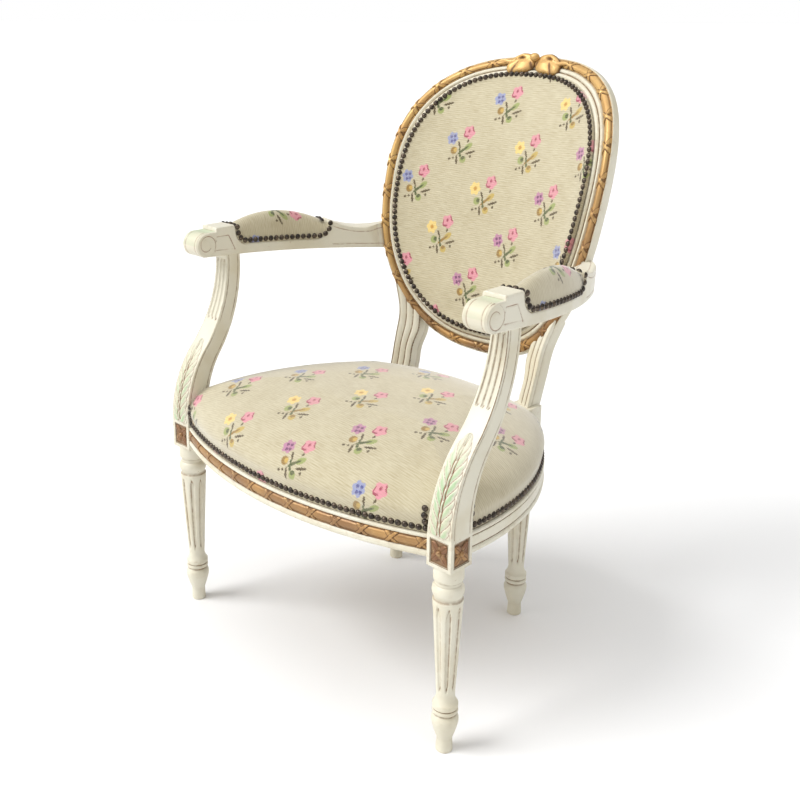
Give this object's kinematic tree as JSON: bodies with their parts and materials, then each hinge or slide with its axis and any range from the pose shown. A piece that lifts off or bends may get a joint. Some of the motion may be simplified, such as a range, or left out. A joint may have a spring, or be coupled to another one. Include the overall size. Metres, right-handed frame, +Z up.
{
  "type": "louis xvi armchair",
  "caption": "Cream painted and parcel gilt open armchair with an oval medallion back, padded arms, fluted legs and a stuffed-over needlepoint seat edged with nails.",
  "frame": {"origin": "on the floor under the middle of the chair's overall box", "axes": "+Z up, the sitter faces -Y, the sitter's left is +X"},
  "size_m": [0.6662, 0.6668, 0.968],
  "materials": {
    "cream_paint": "aged satin paint",
    "gilding": "worn gilding",
    "needlepoint": "ribbed woven",
    "antique_nails": "antiqued",
    "jute_and_stuffing": "matt",
    "raw_beech": "raw"
  },
  "bodies": {
    "root": {"arm_dowels": "raw_beech", "arm_left": "cream_paint", "arm_pad_cover_left": "needlepoint", "arm_pad_cover_right": "needlepoint", "arm_pad_nails_left": "antique_nails", "arm_pad_nails_right": "antique_nails", "arm_pad_stuffing_left": "jute_and_stuffing", "arm_pad_stuffing_right": "jute_and_stuffing", "arm_right": "cream_paint", "arm_support_left": "cream_paint", "arm_support_right": "cream_paint", "back_bottom_rail": "cream_paint", "back_cover": "needlepoint", "back_frame_dowels": "raw_beech", "back_hessian": "jute_and_stuffing", "back_nails": "antique_nails", "back_post_dowels": "raw_beech", "back_ribbon_moulding": "gilding", "back_stile_left": "cream_paint", "back_stile_right": "cream_paint", "back_stuffing": "jute_and_stuffing", "back_top_rail": "cream_paint", "back_webbing": "jute_and_stuffing", "crest_bow": "gilding", "front_corner_block_left": "raw_beech", "front_corner_block_right": "raw_beech", "front_leg_left": "cream_paint", "front_leg_right": "cream_paint", "front_rail": "cream_paint", "front_rail_moulding": "gilding", "leg_rosettes": "gilding", "outside_back_cover": "needlepoint", "outside_back_nails": "antique_nails", "rear_corner_block_left": "raw_beech", "rear_corner_block_right": "raw_beech", "rear_leg_left": "cream_paint", "rear_leg_right": "cream_paint", "rear_rail": "cream_paint", "seat_cover": "needlepoint", "seat_hessian": "jute_and_stuffing", "seat_nails_front": "antique_nails", "seat_nails_left": "antique_nails", "seat_nails_rear": "antique_nails", "seat_nails_right": "antique_nails", "seat_stuffing": "jute_and_stuffing", "seat_webbing_crosswise": "jute_and_stuffing", "seat_webbing_lengthwise": "jute_and_stuffing", "side_rail_left": "cream_paint", "side_rail_right": "cream_paint", "support_leaves": "cream_paint", "support_nails_left": "antique_nails", "support_nails_right": "antique_nails"}
  },
  "joints": []
}
